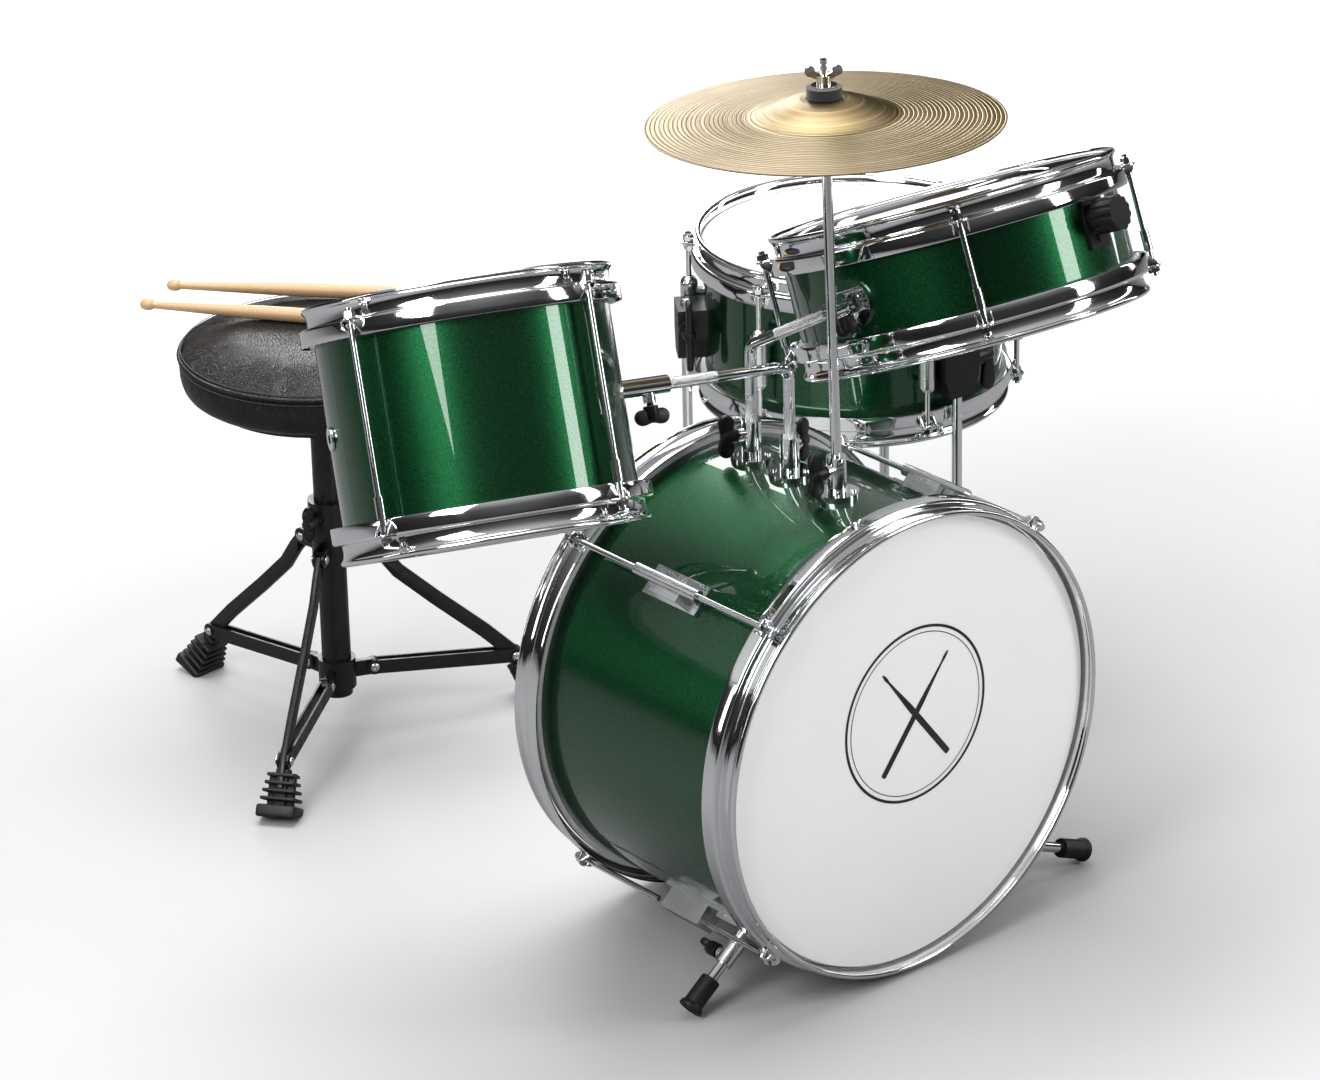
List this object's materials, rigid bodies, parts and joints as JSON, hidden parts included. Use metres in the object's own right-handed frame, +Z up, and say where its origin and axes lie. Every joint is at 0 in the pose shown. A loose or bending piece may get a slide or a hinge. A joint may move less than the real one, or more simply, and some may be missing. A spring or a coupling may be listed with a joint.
{
  "type": "acoustic drum kit",
  "caption": "Junior acoustic drum kit: bass drum with mounted toms and cymbal, floor tom on legs, padded folding stool and a pair of sticks",
  "frame": {"origin": "bottom centre of the whole kit's box, on the floor", "axes": "+Z up; the bass drum's front head faces -Y, the stool stands towards +Y, the floor tom towards +X"},
  "size_m": [0.9528, 0.9861, 0.8076],
  "materials": {
    "green_wrap": "gloss metallic-look dark green wrap",
    "drumhead": "smooth white film",
    "black_plastic": "satin moulded black",
    "black_leatherette": "fine grained black leatherette",
    "black_paint": "satin black paint on steel",
    "cymbal_brass": "lathed brass",
    "black_felt": "black felt",
    "grey_felt": "grey felt",
    "stick_wood": "sanded pale hardwood",
    "lug_plate": "satin chrome plate",
    "chrome_plate": "polished chrome plate"
  },
  "bodies": {
    "kit": {"bass_shell": "green_wrap", "bass_hoops": "chrome_plate", "bass_front_head": "drumhead", "bass_rear_head": "drumhead", "bass_lugs": "lug_plate", "bass_rods": "chrome_plate", "spur_brackets": "lug_plate", "receivers": "chrome_plate"},
    "left_spur": {"left_spur": "chrome_plate"},
    "right_spur": {"right_spur": "chrome_plate"},
    "left_spur_screw": {"left_spur_screw": "black_plastic"},
    "right_spur_screw": {"right_spur_screw": "black_plastic"},
    "deep_arm": {"deep_tom_arm": "chrome_plate"},
    "shallow_arm": {"shallow_tom_arm": "chrome_plate"},
    "cymbal_stand": {"cymbal_rod": "chrome_plate", "cymbal_felts": "black_felt"},
    "deep_post_screw": {"deep_post_screw": "black_plastic"},
    "shallow_post_screw": {"shallow_post_screw": "black_plastic"},
    "cymbal_post_screw": {"cymbal_post_screw": "black_plastic"},
    "cymbal": {"cymbal": "cymbal_brass"},
    "wing_nut": {"wing_nut": "chrome_plate"},
    "deep_tom": {"deep_tom_shell": "green_wrap", "deep_tom_hoops": "chrome_plate", "deep_tom_heads": "drumhead", "deep_tom_rods": "chrome_plate", "deep_tom_bracket": "chrome_plate"},
    "deep_tom_screw": {"deep_tom_screw": "black_plastic"},
    "shallow_tom": {"shallow_tom_shell": "green_wrap", "shallow_tom_hoops": "chrome_plate", "shallow_tom_heads": "drumhead", "shallow_tom_rods": "chrome_plate", "shallow_tom_bracket": "chrome_plate", "muffler_plate": "black_plastic"},
    "shallow_tom_screw": {"shallow_tom_screw": "black_plastic"},
    "muffler_knob": {"muffler_knob": "black_plastic"},
    "muffler_pad": {"muffler_pad": "grey_felt"},
    "floor_tom": {"floor_tom_shell": "green_wrap", "floor_tom_hoops": "chrome_plate", "floor_tom_heads": "drumhead", "floor_tom_lugs": "lug_plate", "floor_tom_rods": "chrome_plate", "leg_blocks": "black_plastic"},
    "floor_leg_1": {"floor_leg_1": "chrome_plate"},
    "floor_leg_2": {"floor_leg_2": "chrome_plate"},
    "floor_leg_3": {"floor_leg_3": "chrome_plate"},
    "leg_screw_1": {"leg_screw_1": "black_plastic"},
    "leg_screw_2": {"leg_screw_2": "black_plastic"},
    "leg_screw_3": {"leg_screw_3": "black_plastic"},
    "stool": {"throne_tube": "black_paint"},
    "seat": {"seat_cushion": "black_leatherette", "seat_base": "black_paint"},
    "sticks": {"drumsticks": "stick_wood"},
    "slider": {"throne_slider": "black_paint"},
    "throne_screw": {"throne_screw": "black_plastic"},
    "throne_leg_a": {"throne_leg_a": "black_paint"},
    "throne_brace_a": {"throne_brace_a": "black_paint"},
    "throne_leg_b": {"throne_leg_b": "black_paint"},
    "throne_brace_b": {"throne_brace_b": "black_paint"},
    "throne_leg_c": {"throne_leg_c": "black_paint"},
    "throne_brace_c": {"throne_brace_c": "black_paint"}
  },
  "joints": [
    {"name": "left_spur_slide", "type": "slide", "parent": "kit", "child": "left_spur", "axis": [0.788, 0, 0.6157], "range_m": [0, 0.012]},
    {"name": "right_spur_slide", "type": "slide", "parent": "kit", "child": "right_spur", "axis": [-0.9232, 0, 0.3843], "range_m": [0, 0.012]},
    {"name": "left_spur_screw_turn", "type": "hinge", "parent": "kit", "child": "left_spur_screw", "pos_m": [-0.18677, -0.371, 0.0437], "axis": [0, 1, 0], "continuous": true},
    {"name": "right_spur_screw_turn", "type": "hinge", "parent": "kit", "child": "right_spur_screw", "pos_m": [0.13903, -0.391, 0.04546], "axis": [0, 1, 0], "continuous": true},
    {"name": "deep_arm_swivel", "type": "hinge", "parent": "kit", "child": "deep_arm", "pos_m": [-0.027, -0.295, 0.522], "axis": [0, 0, 1], "range_deg": [-8, 10]},
    {"name": "shallow_arm_swivel", "type": "hinge", "parent": "kit", "child": "shallow_arm", "pos_m": [-0.027, -0.245, 0.527], "axis": [0, 0, 1], "range_deg": [-1, 8]},
    {"name": "cymbal_height", "type": "slide", "parent": "kit", "child": "cymbal_stand", "axis": [0.0174, 0.0523, 0.9985], "range_m": [-0.02, 0.04]},
    {"name": "deep_post_screw_turn", "type": "hinge", "parent": "kit", "child": "deep_post_screw", "pos_m": [-0.027, -0.295, 0.445], "axis": [0.9397, 0.342, 0], "continuous": true},
    {"name": "shallow_post_screw_turn", "type": "hinge", "parent": "kit", "child": "shallow_post_screw", "pos_m": [-0.027, -0.245, 0.445], "axis": [-0.9397, 0.342, 0], "continuous": true},
    {"name": "cymbal_post_screw_turn", "type": "hinge", "parent": "kit", "child": "cymbal_post_screw", "pos_m": [-0.02658, -0.35474, 0.44496], "axis": [-0.9998, 0, 0.0175], "continuous": true},
    {"name": "cymbal_spin", "type": "hinge", "parent": "cymbal_stand", "child": "cymbal", "pos_m": [-0.0212, -0.33857, 0.75349], "axis": [0.0174, 0.0523, 0.9985], "continuous": true},
    {"name": "wing_nut_turn", "type": "hinge", "parent": "cymbal_stand", "child": "wing_nut", "pos_m": [-0.02067, -0.337, 0.78345], "axis": [0.0174, 0.0523, 0.9985], "continuous": true},
    {"name": "deep_tom_tilt", "type": "hinge", "parent": "deep_arm", "child": "deep_tom", "pos_m": [-0.027, -0.295, 0.522], "axis": [-0.9758, 0.2039, 0.0785], "range_deg": [-15, 10]},
    {"name": "deep_tom_screw_turn", "type": "hinge", "parent": "deep_tom", "child": "deep_tom_screw", "pos_m": [-0.1637, -0.27205, 0.52108], "axis": [0.156, 0.3991, 0.9035], "continuous": true},
    {"name": "shallow_tom_tilt", "type": "hinge", "parent": "shallow_arm", "child": "shallow_tom", "pos_m": [-0.027, -0.245, 0.527], "axis": [0.2409, -0.8346, 0.4955], "range_deg": [-8, 8]},
    {"name": "shallow_tom_screw_turn", "type": "hinge", "parent": "shallow_tom", "child": "shallow_tom_screw", "pos_m": [-0.00325, -0.3424, 0.56876], "axis": [-0.1568, -0.5372, -0.8287], "continuous": true},
    {"name": "muffler_knob_turn", "type": "hinge", "parent": "shallow_tom", "child": "muffler_knob", "pos_m": [0.19888, -0.45632, 0.64624], "axis": [0.2301, -0.9008, 0.3681], "range_deg": [0, 180]},
    {"name": "muffler_pad_lift", "type": "hinge", "parent": "shallow_tom", "child": "muffler_pad", "pos_m": [0.19087, -0.42334, 0.63687], "axis": [0.9731, 0.208, -0.0993], "range_deg": [0, 3.6]},
    {"name": "floor_tom_move", "type": "slide", "parent": "kit", "child": "floor_tom", "axis": [0.9285, 0.3714, 0], "range_m": [0, 0.3]},
    {"name": "floor_leg_1_height", "type": "slide", "parent": "floor_tom", "child": "floor_leg_1", "axis": [0, 0, 1], "range_m": [0, 0.05]},
    {"name": "leg_screw_1_turn", "type": "hinge", "parent": "floor_tom", "child": "leg_screw_1", "pos_m": [0.33703, -0.15301, 0.39], "axis": [0.9962, -0.0872, 0], "range_deg": [-30, 30]},
    {"name": "floor_leg_2_height", "type": "slide", "parent": "floor_tom", "child": "floor_leg_2", "axis": [0, 0, 1], "range_m": [0, 0.05]},
    {"name": "leg_screw_2_turn", "type": "hinge", "parent": "floor_tom", "child": "leg_screw_2", "pos_m": [0.17355, 0.07462, 0.39], "axis": [-0.5736, -0.8192, 0], "range_deg": [-30, 30]},
    {"name": "floor_leg_3_height", "type": "slide", "parent": "floor_tom", "child": "floor_leg_3", "axis": [0, 0, 1], "range_m": [0, 0.05]},
    {"name": "leg_screw_3_turn", "type": "hinge", "parent": "floor_tom", "child": "leg_screw_3", "pos_m": [0.42993, 0.12765, 0.39], "axis": [-0.6018, 0.7986, 0], "range_deg": [-30, 30]},
    {"name": "stool_move", "type": "slide", "parent": "kit", "child": "stool", "axis": [-0.3304, 0.9439, 0], "range_m": [0, 0.3]},
    {"name": "seat_swivel", "type": "hinge", "parent": "stool", "child": "seat", "pos_m": [-0.106, 0.278, 0.345], "axis": [0, 0, 1], "continuous": true},
    {"name": "sticks_lift", "type": "slide", "parent": "seat", "child": "sticks", "axis": [0, 0, 1], "range_m": [0, 0.2]},
    {"name": "slider_lift", "type": "slide", "parent": "stool", "child": "slider", "axis": [0, 0, 1], "range_m": [0, 0.03]},
    {"name": "throne_screw_turn", "type": "hinge", "parent": "slider", "child": "throne_screw", "pos_m": [-0.13419, 0.26774, 0.226], "axis": [-0.9397, -0.342, 0], "continuous": true},
    {"name": "throne_leg_a_fold", "type": "hinge", "parent": "slider", "child": "throne_leg_a", "pos_m": [-0.11014, 0.31376, 0.192], "axis": [-0.9934, -0.1149, 0], "range_deg": [-0.1, 0.6]},
    {"name": "throne_brace_a_fold", "type": "hinge", "parent": "stool", "child": "throne_brace_a", "pos_m": [-0.11014, 0.31376, 0.059], "axis": [0.9934, 0.1149, 0], "range_deg": [0, 12.1]},
    {"name": "throne_leg_b_fold", "type": "hinge", "parent": "slider", "child": "throne_leg_b", "pos_m": [-0.1349, 0.25654, 0.192], "axis": [0.5962, -0.8028, 0], "range_deg": [-0.1, 0.6]},
    {"name": "throne_brace_b_fold", "type": "hinge", "parent": "stool", "child": "throne_brace_b", "pos_m": [-0.1349, 0.25654, 0.059], "axis": [-0.5962, 0.8028, 0], "range_deg": [0, 12.1]},
    {"name": "throne_leg_c_fold", "type": "hinge", "parent": "slider", "child": "throne_leg_c", "pos_m": [-0.07296, 0.2637, 0.192], "axis": [0.3971, 0.9178, 0], "range_deg": [-0.1, 0.6]},
    {"name": "throne_brace_c_fold", "type": "hinge", "parent": "stool", "child": "throne_brace_c", "pos_m": [-0.07296, 0.2637, 0.059], "axis": [-0.3971, -0.9178, 0], "range_deg": [0, 12.1]}
  ],
  "couplings": [
    {"joint": "muffler_pad_lift", "follows": "muffler_knob_turn", "ratio": 0.02},
    {"joint": "throne_leg_a_fold", "follows": "slider_lift", "rad_per_m": 0.0903},
    {"joint": "throne_brace_a_fold", "follows": "slider_lift", "rad_per_m": 6.9955},
    {"joint": "throne_leg_b_fold", "follows": "slider_lift", "rad_per_m": 0.0903},
    {"joint": "throne_brace_b_fold", "follows": "slider_lift", "rad_per_m": 6.9955},
    {"joint": "throne_leg_c_fold", "follows": "slider_lift", "rad_per_m": 0.0903},
    {"joint": "throne_brace_c_fold", "follows": "slider_lift", "rad_per_m": 6.9955}
  ]
}
